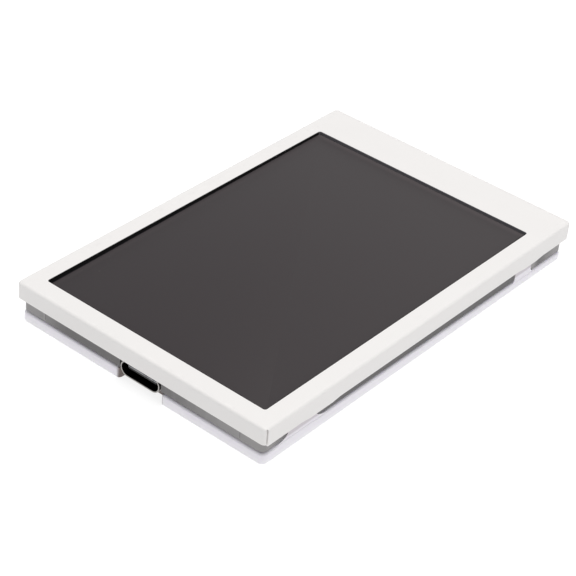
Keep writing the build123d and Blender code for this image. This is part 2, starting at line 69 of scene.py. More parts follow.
class Wire:
    def __init__(self, finish, socket):
        self.finish = finish
        self.socket = socket

    def sums(self, operation, first, second):
        return self.finish.node("Math", {"operation": operation}, {0: first, 1: second})

    def __add__(self, other):
        return self.sums("ADD", self, other)

    def __radd__(self, other):
        return self.sums("ADD", other, self)

    def __sub__(self, other):
        return self.sums("SUBTRACT", self, other)

    def __rsub__(self, other):
        return self.sums("SUBTRACT", other, self)

    def __mul__(self, other):
        return self.sums("MULTIPLY", self, other)

    def __rmul__(self, other):
        return self.sums("MULTIPLY", other, self)

    def __gt__(self, other):
        return self.sums("GREATER_THAN", self, other)

    def __lt__(self, other):
        return self.sums("LESS_THAN", self, other)

    def __abs__(self):
        return self.finish.node("Math", {"operation": "ABSOLUTE"}, {0: self})

    def clipped(self, low, high, outLow=0.0, outHigh=1.0):  # a smooth step from low to high
        return self.finish.node("MapRange", {"interpolation_type": "SMOOTHSTEP"},
                                {0: self, 1: low, 2: high, 3: outLow, 4: outHigh})

    def cycled(self, length):  # 0 to length, over and over
        return self.sums("FLOORED_MODULO", self, length)

    def orMore(self, other):  # the larger of the two
        return self.sums("MAXIMUM", self, other)


class Finish:
    def __init__(self, name, colour, roughness, **constants):
        self.material = bpy.data.materials.new(name)
        self.material.use_nodes = True
        self.material.diffuse_color = (*colour, 1)
        self.tree = self.material.node_tree
        self.tree.nodes.clear()
        self.shader = self.tree.nodes.new("ShaderNodeBsdfPrincipled")
        output = self.tree.nodes.new("ShaderNodeOutputMaterial")
        self.tree.links.new(self.shader.outputs[0], output.inputs[0])
        self.set("Base Color", colour)
        self.set("Roughness", roughness)
        for key, value in constants.items():
            self.set(key.replace("_", " "), value)
        coordinates = self.node("TexCoord", {}, {}, "Object")
        self.place = self.node("VectorMath", {"operation": "SCALE"},  # in millimetres
                               {0: coordinates, "Scale": 1 / mm})

    def set(self, name, value):
        self.feed(self.shader.inputs[name], value)

    def feed(self, socket, value):
        if isinstance(value, Wire):
            self.tree.links.new(value.socket, socket)
        elif isinstance(value, tuple) and len(value) == 3 and socket.type == "RGBA":
            socket.default_value = (*value, 1)
        else:
            socket.default_value = value

    def node(self, kind, settings, sockets, output=0):
        made = self.tree.nodes.new("ShaderNode" + kind)
        for key, value in settings.items():
            setattr(made, key, value)
        for key, value in sockets.items():
            self.feed(made.inputs[key], value)
        return Wire(self, made.outputs[output])

    def along(self, axis, vector=None):
        return self.node("SeparateXYZ", {}, {0: vector or self.place}, "XYZ".index(axis))

    def stretched(self, scale):
        return self.node("Mapping", {}, {"Vector": self.place, "Scale": scale})

    def noise(self, size, detail=3, vector=None, roughness=0.55):  # size in millimetres
        return self.node("TexNoise", {}, {"Vector": vector or self.place, "Scale": 1 / size,
                                          "Detail": detail, "Roughness": roughness})

    def cells(self, size):
        return self.node("TexVoronoi", {}, {"Vector": self.place, "Scale": 1 / size})

    def mix(self, factor, first, second):
        return self.node("Mix", {"data_type": "RGBA"}, {0: factor, 6: first, 7: second}, 2)

    def unevenGloss(self, smoothest, spread, size, detail=3):
        self.set("Roughness", smoothest + spread * self.noise(size, detail))

    def bump(self, height, depth, strength):  # depth in millimetres
        self.set("Normal", self.node("Bump", {}, {"Height": height, "Distance": depth * mm,
                                                  "Strength": strength}))


def shade(colour, by):
    return tuple(min(1.0, c * by) for c in colour)


def rectangleMask(finish, centre, size, turn, soft):  # 1 inside a turned rectangle
    moved = finish.node("Mapping", {"vector_type": "TEXTURE"},
                        {"Vector": finish.place, "Location": (*centre, 0), "Rotation": (0, 0, turn)})
    across = abs(finish.along("X", moved)).clipped(size[0] / 2 + soft, size[0] / 2)
    down = abs(finish.along("Y", moved)).clipped(size[1] / 2 + soft, size[1] / 2)
    return across * down


def paintFinish():
    paint = {"colour": (0.822, 0.801, 0.788), "mottle": 9.0, "mottleSpread": 0.015,
             "peel": 0.32, "fine": 0.09, "fineShare": 0.35, "peelDepth": 0.006}
    f = Finish("whitePaint", paint["colour"], 0.42, Coat_Weight=0.08, Coat_Roughness=0.35)
    dark, light = (shade(paint["colour"], 1 + side * paint["mottleSpread"]) for side in (-1, 1))
    f.set("Base Color", f.mix(f.noise(paint["mottle"], 4), dark, light))
    f.unevenGloss(0.38, 0.10, 1.6, 4)
    peel = f.noise(paint["peel"], 2) + paint["fineShare"] * f.noise(paint["fine"], 2)
    f.bump(peel, paint["peelDepth"], 0.5)
    return f


def milkyFinish():
    milky = {
        "edge": (0.94, 0.93, 0.95), "body": (0.90, 0.87, 0.925), "shade": (0.84, 0.81, 0.86),
        "cloud": 5.0, "foot": (1.3, 0.3), "floorLightShare": 0.6, "grain": 0.07, "grainDepth": 0.008,
        "post": (0.63, 0.585, 0.62), "postRise": (2.5, 3.0),
        "notch": (0.17, 0.135, 0.125), "notchX": 0.45, "notchSide": (5.5, 4.9), "notchBack": -40.0,
    }
    f = Finish("milkyPlastic", milky["body"], 0.45, Subsurface_Weight=0.12,
               Subsurface_Radius=(0.8, 0.7, 0.9), Subsurface_Scale=mm)
    colour = f.mix(f.noise(milky["cloud"], 4), milky["shade"], milky["body"])
    foot = f.along("Z").clipped(*milky["foot"])  # painted light: lighter towards the foot, as if lit from the floor below
    colour = f.mix(milky["floorLightShare"] * foot, colour, milky["edge"])
    post = f.along("Z").clipped(*milky["postRise"])  # painted shade: the posts darken towards their tops, under the skirt
    colour = f.mix(post, colour, milky["post"])
    # painted shade: the notch walls beside the socket are darkened
    beside = abs(f.along("X") - milky["notchX"]).clipped(*milky["notchSide"])
    notch = beside * (f.along("Y") < milky["notchBack"])
    f.set("Base Color", f.mix(notch, colour, milky["notch"]))
    f.unevenGloss(0.40, 0.12, 0.5)
    f.bump(f.noise(milky["grain"], roughness=0.7), milky["grainDepth"], 0.6)
    return f


def greyFinish():
    grey = {
        "deep": (0.125, 0.119, 0.119), "pale": (0.29, 0.279, 0.279),
        "sideShade": (0.086, 0.082, 0.083), "side": (27.4, 27.7),
        "litPatches": (  # middle and reach of patches painted paler, as painted light where light reaches into the groove near the corners and posts
            ((28, -44, 4), (34, 9, 20)), ((-28, -44, 4), (14, 8, 20)), ((28, 44, 4), (8, 12, 20)),
            ((-28, 44, 4), (16, 10, 20)), ((28, 33.2, 3), (6, 2.6, 8)), ((-28, 33.2, 3), (6, 2.6, 8)),
        ),
        "ribX": 22.45, "ribSide": (0.34, 0.2), "ribEnd": 43.0, "ribGlint": 0.85,
        "streak": (1, 1, 0.2), "streakSize": 1.3, "streakPale": 0.35,
        "grain": 0.06, "wave": 0.7, "waveShare": 0.6, "grainDepth": 0.006,
    }
    f = Finish("greyPlastic", grey["deep"], 0.42)
    pale = 0.0
    for centre, reach in grey["litPatches"]:
        away = f.node("VectorMath", {"operation": "SUBTRACT"}, {0: f.place, 1: centre})
        scaled = f.node("VectorMath", {"operation": "DIVIDE"}, {0: away, 1: reach})
        pale = pale + f.node("VectorMath", {"operation": "LENGTH"}, {0: scaled}, "Value").clipped(1, 0)
    streaked = f.stretched(grey["streak"])
    pale = pale + grey["streakPale"] * (f.noise(grey["streakSize"], 4, streaked) - 0.5)
    # painted highlight: a pale glint along each rib on the end faces
    rib = abs(abs(f.along("X")) - grey["ribX"]).clipped(*grey["ribSide"])
    pale = pale + grey["ribGlint"] * rib * (abs(f.along("Y")) > grey["ribEnd"])
    # painted shade: the long sides are painted darker than the ends
    side = abs(f.along("X")).clipped(*grey["side"])
    deep = f.mix(side, grey["deep"], grey["sideShade"])
    f.set("Base Color", f.mix(pale.clipped(0, 1), deep, grey["pale"]))
    f.unevenGloss(0.36, 0.16, 0.4)
    grain = f.noise(grey["grain"]) + grey["waveShare"] * f.noise(grey["wave"], 2, streaked)
    f.bump(grain, grey["grainDepth"], 0.6)
    return f


def trimFinish():
    trim = {"dark": (0.003, 0.003, 0.003), "light": (0.012, 0.011, 0.012),
            "farWallLight": (0.13, 0.125, 0.135), "farWallLightFrom": 34.0}
    f = Finish("blackTrim", trim["light"], 0.8, Specular_IOR_Level=0.2)
    far = f.along("Y") > trim["farWallLightFrom"]  # painted light: the far wall is painted greyer, to stand for light on it
    black = f.mix(f.noise(0.12), trim["dark"], trim["light"])
    f.set("Base Color", f.mix(far, black, trim["farWallLight"]))
    f.unevenGloss(0.7, 0.2, 0.2, 2)
    f.bump(f.noise(0.08, 2), 0.01, 0.6)
    return f


def screenFinish():
    screen = {
        "border": (0.006, 0.006, 0.007),
        "near": (0.0355, 0.0294, 0.0312), "far": (0.0560, 0.0490, 0.0505),
        "sheenRise": (-60, 60), "sheenAcross": 0.5,
        "active": (49.3, 74.4), "centre": (-0.05, -2.75), "turn": math.radians(0.34), "soft": 0.1,
        "rim": 1.75, "rimFar": (32.7, 34.4), "rimLeft": (-22.9, -24.6), "rimLeftShare": 0.3,
        "haze": 1.6, "hazeSize": 0.07, "hazeShare": 0.12,
        "dust": ((-21.5, -30.9, 0.16), (-23.4, -26.5, 0.11), (-12.6, -21.7, 0.13), (6.4, 8.1, 0.07)),
        "dustColour": (0.12, 0.11, 0.11), "dustGrain": 0.09, "dustCore": 0.4,
    }
    f = Finish("darkScreen", screen["near"], 0.38, Specular_IOR_Level=0.22)
    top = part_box("top_polariser")[1].z / mm
    picture = rectangleMask(f, screen["centre"], screen["active"], screen["turn"], screen["soft"])
    # painted reflection: the screen is painted lighter towards the far right, as a sheen
    reach = (f.along("Y") + screen["sheenAcross"] * f.along("X")).clipped(*screen["sheenRise"])
    cells = f.mix(reach, screen["near"], screen["far"])
    rimFar = f.along("Y").clipped(*screen["rimFar"])  # the bezel's white edge lights the rim
    rimLeft = screen["rimLeftShare"] * f.along("X").clipped(*screen["rimLeft"])
    cells = f.mix(rimFar.orMore(rimLeft), cells, shade(screen["far"], screen["rim"]))
    haze = screen["hazeShare"] * f.noise(screen["hazeSize"], 2)
    cells = f.mix(haze, cells, shade(screen["far"], screen["haze"]))
    colour = f.mix(picture, screen["border"], cells)
    for x, y, radius in screen["dust"]:
        apart = f.node("VectorMath", {"operation": "DISTANCE"}, {0: f.place, 1: (x, y, top)}, "Value")
        speck = apart.clipped(radius, radius * screen["dustCore"]) * f.noise(screen["dustGrain"], 2)
        colour = f.mix(speck, colour, screen["dustColour"])
    f.set("Base Color", colour)
    f.unevenGloss(0.34, 0.10, 0.05, 2)
    f.bump(f.noise(0.045, 2), 0.003, 0.35)
    return f


def glassFinish():
    glass = {"cell": (0.10, 0.12, 0.115), "line": (0.02, 0.02, 0.022),
             "pitch": 0.153, "lineWidth": 0.02}  # the picture cells' spacing
    f = Finish("displayGlass", glass["cell"], 0.08, Coat_Weight=0.3, Coat_Roughness=0.05)
    across, down = (f.along(axis).cycled(glass["pitch"]) > glass["lineWidth"] for axis in "XY")
    f.set("Base Color", f.mix(across * down, glass["line"], glass["cell"]))
    f.unevenGloss(0.06, 0.05, 2.0)
    return f


def filmFinish(name, low, high, ridge=0.0):  # ridge is the spacing of a prism film's ridges
    f = Finish(name, low, 0.3, Coat_Weight=0.2, Coat_Roughness=0.2)
    f.set("Base Color", f.mix(f.noise(6.0), low, high))
    f.unevenGloss(0.24, 0.14, 0.8)
    if ridge:
        f.bump(abs(f.along("Y").cycled(ridge) - ridge / 2), 0.05, 0.5)
    return f


def guideFinish():
    guide = {"clear": (0.55, 0.60, 0.62), "dot": (0.86, 0.88, 0.89), "spacing": 0.55,
             "dotSide": (0.12, 0.09), "clearGloss": 0.08, "dotGloss": 0.48}
    f = Finish("clearAcrylic", guide["clear"], 0.1, Coat_Weight=0.4, Coat_Roughness=0.04)
    dots = f.cells(guide["spacing"]).clipped(*guide["dotSide"])
    f.set("Base Color", f.mix(dots, guide["clear"], guide["dot"]))
    f.set("Roughness", guide["clearGloss"] + (guide["dotGloss"] - guide["clearGloss"]) * dots)
    return f


def drawnMetal(f, colour, smoothest, grain, stretch):  # streaks its gloss, and returns its colour
    drawn = {"spread": 0.14, "depth": 0.004, "tarnish": 1.2, "tarnishShade": 0.9}
    streak = f.noise(grain, vector=f.stretched(stretch))
    f.set("Roughness", smoothest + drawn["spread"] * streak)
    f.bump(streak, drawn["depth"], 0.4)
    return f.mix(f.noise(drawn["tarnish"]), shade(colour, drawn["tarnishShade"]), colour)


def metalFinish(name, colour, roughness, grain, stretch):
    f = Finish(name, colour, roughness, Metallic=1.0)
    f.set("Base Color", drawnMetal(f, colour, roughness - 0.07, grain, stretch))
    return f


def portFinish():
    port = {"steel": (0.42, 0.405, 0.39), "dark": (0.02, 0.019, 0.018), "centre": (0.45, 3.03),
            "flat": 2.89, "bore": 1.44, "front": -43.3}
    f = Finish("portSteel", port["steel"], 0.26, Metallic=1.0)
    steel = drawnMetal(f, port["steel"], 0.22, 0.05, (1, 0.1, 1))
    # painted shade: the steel inside the socket's bore is painted near black
    across = (abs(f.along("X") - port["centre"][0]) - port["flat"]).orMore(0.0)
    up = f.along("Z") - port["centre"][1]
    inside = (across * across + up * up < port["bore"] ** 2) * (f.along("Y") > port["front"])
    f.set("Base Color", f.mix(inside, steel, port["dark"]))
    return f


def tongueFinish():
    tongue = {"low": (0.010, 0.010, 0.011), "high": (0.024, 0.024, 0.025),
              "edgeHighlight": (0.60, 0.60, 0.62), "highlightFront": -42.50, "highlightTop": 3.20, "highlightSize": 0.9}
    f = Finish("blackMoulding", tongue["low"], 0.4, Specular_IOR_Level=0.35)
    black = f.mix(f.noise(1.5, 4), tongue["low"], tongue["high"])
    edge = (f.along("Y") < tongue["highlightFront"]) * (f.along("Z") > tongue["highlightTop"])
    edgeHighlight = edge * f.noise(tongue["highlightSize"]).clipped(0.25, 0.6, 0.45, 1)  # painted highlight: the front top edge is painted pale, in broken patches
    f.set("Base Color", f.mix(edgeHighlight, black, tongue["edgeHighlight"]))
    f.unevenGloss(0.34, 0.12, 0.4)
    f.bump(f.noise(0.07), 0.006, 0.6)
    return f


def flexFinish():
    flex = {"film": (0.36, 0.12, 0.02), "track": (0.62, 0.27, 0.06), "pitch": 0.5, "gap": 0.22}
    f = Finish("amberFlex", flex["film"], 0.28, Coat_Weight=0.4, Coat_Roughness=0.15)
    tracks = f.along("X").cycled(flex["pitch"]) > flex["gap"]
    f.set("Base Color", f.mix(tracks, flex["film"], flex["track"]))
    f.unevenGloss(0.24, 0.1, 0.6)
    f.bump(tracks, 0.02, 0.5)
    return f


def boardFinish():
    board = {
        "mask": (0.012, 0.085, 0.035), "copper": (0.03, 0.15, 0.062), "via": (0.55, 0.40, 0.14),
        "runs": (("X", 7.0, 0.9, (0.52, 0.56)), ("Y", 9.0, 1.1, (0.62, 0.66))),
        "wander": 5, "patch": 4.0, "viaSpacing": 2.3, "viaSide": (0.11, 0.09),
    }
    f = Finish("greenBoard", board["mask"], 0.3, Coat_Weight=0.5, Coat_Roughness=0.16)
    runs = []
    for axis, bend, pitch, side in board["runs"]:  # tracks that wander, one set each way
        bent = f.along(axis) + board["wander"] * f.noise(bend, 0)
        runs.append(bent.cycled(pitch).clipped(*side))
    patch = f.noise(board["patch"], 0).clipped(0.49, 0.51)
    tracks = f.node("Mix", {}, {0: patch, 2: runs[0], 3: runs[1]})
    vias = f.cells(board["viaSpacing"]).clipped(*board["viaSide"])
    colour = f.mix(tracks, board["mask"], board["copper"])
    f.set("Base Color", f.mix(vias, colour, board["via"]))
    f.set("Metallic", vias)
    f.unevenGloss(0.26, 0.12, 1.0)
    f.bump(tracks - vias, 0.02, 0.5)
    return f


def packageFinish():
    epoxy = {"dark": (0.014, 0.014, 0.015), "light": (0.03, 0.03, 0.032)}
    f = Finish("chipEpoxy", epoxy["dark"], 0.55)
    f.set("Base Color", f.mix(f.noise(0.5, 4), epoxy["dark"], epoxy["light"]))
    f.unevenGloss(0.5, 0.2, 0.15)
    f.bump(f.noise(0.06), 0.008, 0.6)
    return f


def mouldedFinish(name, low, high, roughness=0.45, grain=0.07):
    f = Finish(name, low, roughness)
    f.set("Base Color", f.mix(f.noise(1.5, 4), low, high))
    f.unevenGloss(roughness - 0.06, 0.12, 0.4)
    f.bump(f.noise(grain), 0.006, 0.6)
    return f


def endCapFinish(name, body):  # chip parts in rows, with tinned ends
    chip = {"tin": (0.62, 0.62, 0.63), "rowStart": -16.0, "pitch": 1.9, "length": 1.0, "cap": 0.25}
    f = Finish(name, body, 0.4)
    x = (f.along("X") - (chip["rowStart"] - chip["length"] / 2)).cycled(chip["pitch"])
    ends = 1 - (x > chip["cap"]) * (x < chip["length"] - chip["cap"])
    f.set("Base Color", f.mix(ends, body, chip["tin"]))
    f.set("Metallic", ends)
    f.unevenGloss(0.36, 0.12, 0.2)
    return f


def labelFinish():
    label = {"dull": (0.57, 0.57, 0.58), "bright": (0.64, 0.64, 0.65), "ink": (0.25, 0.25, 0.26),
             "size": (27.0, 15.0), "centre": (0, 12.0), "line": 0.25, "soft": 0.04}
    f = Finish("labelFilm", label["bright"], 0.38)
    outer = rectangleMask(f, label["centre"], label["size"], 0, label["soft"])
    insideLine = tuple(side - 2 * label["line"] for side in label["size"])
    inner = rectangleMask(f, label["centre"], insideLine, 0, label["soft"])
    silver = f.mix(f.noise(2.5, 4), label["dull"], label["bright"])
    f.set("Base Color", f.mix(outer - inner, silver, label["ink"]))
    f.unevenGloss(0.34, 0.1, 0.3)
    return f


def ledFinish():
    led = {"package": (0.84, 0.83, 0.80), "phosphor": (0.80, 0.62, 0.16), "rise": (5.4, 5.9)}
    f = Finish("ledPackage", led["package"], 0.35, Coat_Weight=0.3)
    f.set("Base Color", f.mix(f.along("Z").clipped(*led["rise"]), led["package"], led["phosphor"]))
    f.unevenGloss(0.3, 0.1, 0.3, 2)
    return f


finishes = {
    "white_paint": paintFinish(),
    "milky_plastic": milkyFinish(),
    "grey_plastic": greyFinish(),
    "black_trim": trimFinish(),
    "dark_screen": screenFinish(),
    "display_glass": glassFinish(),
    "polariser_film": filmFinish("polariserFilm", (0.045, 0.043, 0.05), (0.06, 0.058, 0.065)),
    "optical_film": filmFinish("opticalFilm", (0.72, 0.75, 0.77), (0.80, 0.82, 0.83), 0.05),
    "clear_acrylic": guideFinish(),
    "reflector_white": mouldedFinish("reflectorWhite", (0.86, 0.86, 0.85), (0.91, 0.91, 0.90), 0.4),
    "silicon": mouldedFinish("silicon", (0.035, 0.037, 0.045), (0.06, 0.062, 0.07), 0.15, 0.3),
    "amber_flex": flexFinish(),
    "backlight_steel": metalFinish("backlightSteel", (0.62, 0.61, 0.59), 0.3, 0.12, (0.08, 1, 1)),
    "led_package": ledFinish(),
    "black_foam": mouldedFinish("blackFoam", (0.012, 0.012, 0.013), (0.03, 0.03, 0.03), 0.85, 0.2),
    "green_board": boardFinish(),
    "port_steel": portFinish(),
    "black_moulding": tongueFinish(),
    "gold_contact": metalFinish("goldContact", (0.85, 0.60, 0.24), 0.24, 0.04, (1, 0.15, 1)),
    "chip_epoxy": packageFinish(),
    "tinned_lead": metalFinish("tinnedLead", (0.68, 0.68, 0.69), 0.32, 0.05, (0.2, 1, 1)),
    "ferrite": mouldedFinish("ferrite", (0.05, 0.05, 0.055), (0.085, 0.083, 0.09), 0.6, 0.12),
    "crystal_can": metalFinish("crystalCan", (0.70, 0.68, 0.63), 0.2, 0.08, (1, 0.2, 1)),
    "ceramic_tan": endCapFinish("ceramicTan", (0.42, 0.26, 0.13)),
    "chip_black": endCapFinish("chipBlack", (0.02, 0.02, 0.023)),
    "connector_ivory": mouldedFinish("connectorIvory", (0.70, 0.64, 0.50), (0.76, 0.71, 0.58)),
    "connector_black": mouldedFinish("connectorBlack", (0.016, 0.016, 0.017), (0.03, 0.03, 0.03)),
    "label_film": labelFinish(),
    "screw_steel": metalFinish("screwSteel", (0.50, 0.50, 0.51), 0.32, 0.05, (1, 1, 0.1)),
}
slotOf = {part["node"]: part["material_slot"] for part in frame["record"]["subparts"]}
bodyOf = {node: body for body, members in frame["record"]["behaviour"]["bodies"].items()
          for node in members}
for name, node in nodes.items():
    node.data.materials.clear()
    node.data.materials.append(finishes[slotOf[name]].material)
print("finishes made:", len(finishes))


# pieces

tiny = 1e-7  # metres: two heights or places this near are the same
edgeStyle = {"smoothTo": math.radians(32), "roundFrom": math.radians(40), "segments": 3,
             "weld": 0.0005 * mm, "cadWeld": 0.001 * mm}


def smoothByAngle(bm):
    for face in bm.faces:
        face.smooth = True
    for edge in bm.edges:
        paired = len(edge.link_faces) == 2
        edge.smooth = paired and edge.calc_face_angle() < edgeStyle["smoothTo"]


def finished(bm, name, node, edgeRound=0.0, sheet=0.0):  # a mesh that stands for a CAD node
    bmesh.ops.remove_doubles(bm, verts=bm.verts, dist=edgeStyle["weld"])
    smoothByAngle(bm)
    mesh = bpy.data.meshes.new(name)
    bm.to_mesh(mesh)
    bm.free()
    piece = bpy.data.objects.new(name, mesh)
    bpy.context.scene.collection.objects.link(piece)
    mesh.materials.append(finishes[slotOf[node]].material)
    if sheet:
        solid = piece.modifiers.new("sheet", "SOLIDIFY")
        solid.thickness = sheet
        solid.offset = -1
        solid.use_even_offset = True
    if edgeRound:
        bevel = piece.modifiers.new("edges", "BEVEL")
        bevel.width = edgeRound
        bevel.segments = edgeStyle["segments"]
        bevel.limit_method = "ANGLE"
        bevel.angle_limit = edgeStyle["roundFrom"]
        bevel.use_clamp_overlap = True
        normals = piece.modifiers.new("normals", "WEIGHTED_NORMAL")
        normals.keep_sharp = True
    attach(piece, bodyOf[node])
    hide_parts(node)
    return piece


def refined(node, name, edgeRound):  # the CAD node's own shape, welded and with softened edges
    bm = bmesh.new()
    bm.from_mesh(nodes[node].data)
    bmesh.ops.remove_doubles(bm, verts=bm.verts, dist=edgeStyle["cadWeld"])
    return finished(bm, name, node, edgeRound)


def block(bm, low, high):  # a box between two corners
    low, high = Vector(low), Vector(high)
    verts = bmesh.ops.create_cube(bm, size=1)["verts"]
    bmesh.ops.scale(bm, vec=high - low, verts=verts)
    bmesh.ops.translate(bm, vec=(low + high) / 2, verts=verts)
    return verts


def cut(bm, geometry, point, normal):
    bmesh.ops.bisect_plane(bm, geom=geometry, plane_co=point, plane_no=normal, dist=tiny)


def cutAll(bm, point, normal):
    cut(bm, bm.verts[:] + bm.edges[:] + bm.faces[:], point, normal)


def bevelEdges(bm, edges, offset, segments):
    bmesh.ops.bevel(bm, geom=edges, offset=offset, segments=segments, profile=0.5,
                    affect="EDGES", material=-1, clamp_overlap=True)


def bevelCorners(bm, verts, offset, segments):
    bmesh.ops.bevel(bm, geom=verts, offset=offset, segments=segments, profile=0.5,
                    affect="VERTICES", material=-1)


def uprightEdges(bm, longerThan):
    return [e for e in bm.edges if abs((e.verts[0].co - e.verts[1].co).z) > longerThan]


def highestFace(bm):
    return max(bm.faces, key=lambda face: face.calc_center_median().z)


def bezelShell():
    bezel = {
        "bend": 0.55 * mm, "corner": 0.9 * mm, "sheet": 0.5 * mm, "edgeRound": 0.06 * mm,
        "window": (50.14 * mm, 74.74 * mm), "windowY": -2.82 * mm, "windowCorner": 0.5 * mm,
        "longDepth": 3.6 * mm, "shortDepth": 3.3 * mm, "tabDrop": 0.26 * mm, "tabRamp": 2.2 * mm,
        "tabs": ((-34.65 * mm, -24.65 * mm), (27.35 * mm, 35.45 * mm)),
        "slitFromEnd": 0.58 * mm, "slit": 0.28 * mm, "slitTop": 0.22 * mm, "segments": 7,
    }
    low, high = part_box("front_bezel")
    longEdge = high.z - bezel["longDepth"]
    shortEdge = high.z - bezel["shortDepth"]
    slitTop = high.z - bezel["slitTop"]
    bm = bmesh.new()
    block(bm, (low.x, low.y, longEdge), high)
    base = min(bm.faces, key=lambda face: face.calc_center_median().z)
    bmesh.ops.delete(bm, geom=[base], context="FACES_ONLY")
    bevelEdges(bm, uprightEdges(bm, bezel["longDepth"] / 2), bezel["corner"], bezel["segments"])
    bevelEdges(bm, highestFace(bm).edges[:], bezel["bend"], bezel["segments"])

    topFace = highestFace(bm)
    rim = topFace.edges[:]
    bmesh.ops.delete(bm, geom=[topFace], context="FACES_ONLY")
    halfX, halfY = (side / 2 for side in bezel["window"])
    corners = [bm.verts.new((x, y + bezel["windowY"], high.z))
               for x, y in ((-halfX, -halfY), (halfX, -halfY), (halfX, halfY), (-halfX, halfY))]
    bm.faces.new(corners)
    bevelCorners(bm, corners, bezel["windowCorner"], bezel["segments"])
    opening = next(f for f in bm.faces if abs(f.calc_center_median().z - high.z) < tiny)
    hole, holeVerts = opening.edges[:], opening.verts[:]
    bmesh.ops.delete(bm, geom=[opening], context="FACES_ONLY")
    apart = Vector((0, 0, high.x - low.x))  # loops in one plane would be bridged the wrong way round
    bmesh.ops.translate(bm, vec=apart, verts=holeVerts)
    bmesh.ops.bridge_loops(bm, edges=rim + hole)
    bmesh.ops.translate(bm, vec=-apart, verts=holeVerts)

    slitY = high.y - bezel["slitFromEnd"]
    stops = [y for start, stop in bezel["tabs"]
             for y in (start, start + bezel["tabRamp"], stop - bezel["tabRamp"], stop)]
    for side in (-1, 1):
        stops += [side * (slitY - bezel["slit"] / 2), side * (slitY + bezel["slit"] / 2)]
    for y in stops:
        cutAll(bm, (0, y, 0), (0, 1, 0))
    cutAll(bm, (0, 0, slitTop), (0, 0, 1))
    slits = []
    for face in bm.faces:
        centre = face.calc_center_median()
        inSlit = abs(abs(centre.y) - slitY) < bezel["slit"] / 2
        if inSlit and abs(centre.x) > high.x - bezel["bend"] and centre.z < slitTop:
            slits.append(face)
    bmesh.ops.delete(bm, geom=slits, context="FACES")

    for vert in bm.verts:  # the skirt's lower edge: shallow tabs, and shorter flanges at the ends
        if vert.co.z > longEdge + tiny:
            continue
        if abs(vert.co.y) > slitY:
            vert.co.z = shortEdge
            continue
        for start, stop in bezel["tabs"]:
            inside = min(vert.co.y - start, stop - vert.co.y) / bezel["tabRamp"]
            vert.co.z -= bezel["tabDrop"] * max(0.0, min(1.0, inside))
    bmesh.ops.recalc_face_normals(bm, faces=bm.faces)
    if highestFace(bm).normal.z < 0:
        bmesh.ops.reverse_faces(bm, faces=bm.faces)
    return finished(bm, "bezelShell", "front_bezel", bezel["edgeRound"], bezel["sheet"])


def roundedOutline(bm, size, corner, height, centre, steps):
    made = bmesh.ops.create_grid(bm, x_segments=1, y_segments=1, size=0.5)["verts"]
    bmesh.ops.scale(bm, vec=(*size, 1), verts=made)
    bmesh.ops.translate(bm, vec=(*centre, height), verts=made)
    bevelCorners(bm, made, corner, steps)


def sectionRing(bm, rows, closed=True, steps=7):  # rounded outlines joined one to the next
    stack = 0.1  # metres: loops in one plane would be bridged the wrong way round
    loops, lifts = [], []
    for count, (size, corner, height, centre) in enumerate(rows):
        known = set(bm.edges)
        lift = Vector((0, 0, count * stack))
        roundedOutline(bm, size, corner, height + lift.z, centre, steps)
        edges = [e for e in bm.edges if e not in known]
        lifts.append((lift, list({v for e in edges for v in e.verts})))
        bmesh.ops.delete(bm, geom=list({f for e in edges for f in e.link_faces}),
                         context="FACES_ONLY")
        loops.append(edges)
    following = loops[1:] + loops[:1] if closed else loops[1:]
    for first, second in zip(loops, following):
        bmesh.ops.bridge_loops(bm, edges=first + second)
    for lift, verts in lifts:
        bmesh.ops.translate(bm, vec=-lift, verts=verts)
    return loops


def trimRing():
    trim = {"clear": (49.9 * mm, 74.5 * mm), "centre": (0, -2.82 * mm), "corner": 0.4 * mm,
            "wall": 0.12 * mm, "tape": 0.12 * mm, "tapeCorner": 1.0 * mm}
    low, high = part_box("window_trim")
    wide = tuple(side + 2 * trim["wall"] for side in trim["clear"])
    outerCentre = ((low.x + high.x) / 2, (low.y + high.y) / 2)
    outerSize = (high.x - low.x, high.y - low.y)
    wideCorner = trim["corner"] + trim["wall"]
    tapeTop = low.z + trim["tape"]
    rows = (
        (trim["clear"], trim["corner"], low.z, trim["centre"]),
        (trim["clear"], trim["corner"], high.z, trim["centre"]),
        (wide, wideCorner, high.z, trim["centre"]),
        (wide, wideCorner, tapeTop, trim["centre"]),
        (outerSize, trim["tapeCorner"], tapeTop, outerCentre),
        (outerSize, trim["tapeCorner"], low.z, outerCentre),
    )
    bm = bmesh.new()
    sectionRing(bm, rows)
    bmesh.ops.recalc_face_normals(bm, faces=bm.faces)
    return finished(bm, "windowTrimWall", "window_trim")


def plate(node, name, corner, edge):  # a flat part as large as its CAD node, with soft edges
    low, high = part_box(node)
    bm = bmesh.new()
    block(bm, low, high)
    bevelEdges(bm, uprightEdges(bm, (high.z - low.z) / 2), corner, 6)
    rims = [e for e in bm.edges if e.calc_face_angle() > math.radians(60)]
    bevelEdges(bm, rims, edge, 3)
    return finished(bm, name, node)


def slotRow(size, grow, height, middle):  # a round-ended slot, larger by grow all round
    nearlyHalf = 0.495  # of its height, so that its round ends keep a short flat between them
    size = tuple(side + 2 * grow for side in size)
    return size, size[1] * nearlyHalf, height, middle


def slotTube(rows):  # built along +Z with its ends filled, then laid along +Y
    bm = bmesh.new()
    loops = sectionRing(bm, rows, closed=False, steps=10)
    for loop in (loops[0], loops[-1]):
        bmesh.ops.edgeloop_fill(bm, edges=loop)
    bmesh.ops.rotate(bm, cent=(0, 0, 0), matrix=Matrix.Rotation(math.radians(-90), 3, "X"),
                     verts=bm.verts)
    bmesh.ops.recalc_face_normals(bm, faces=bm.faces)
    return bm


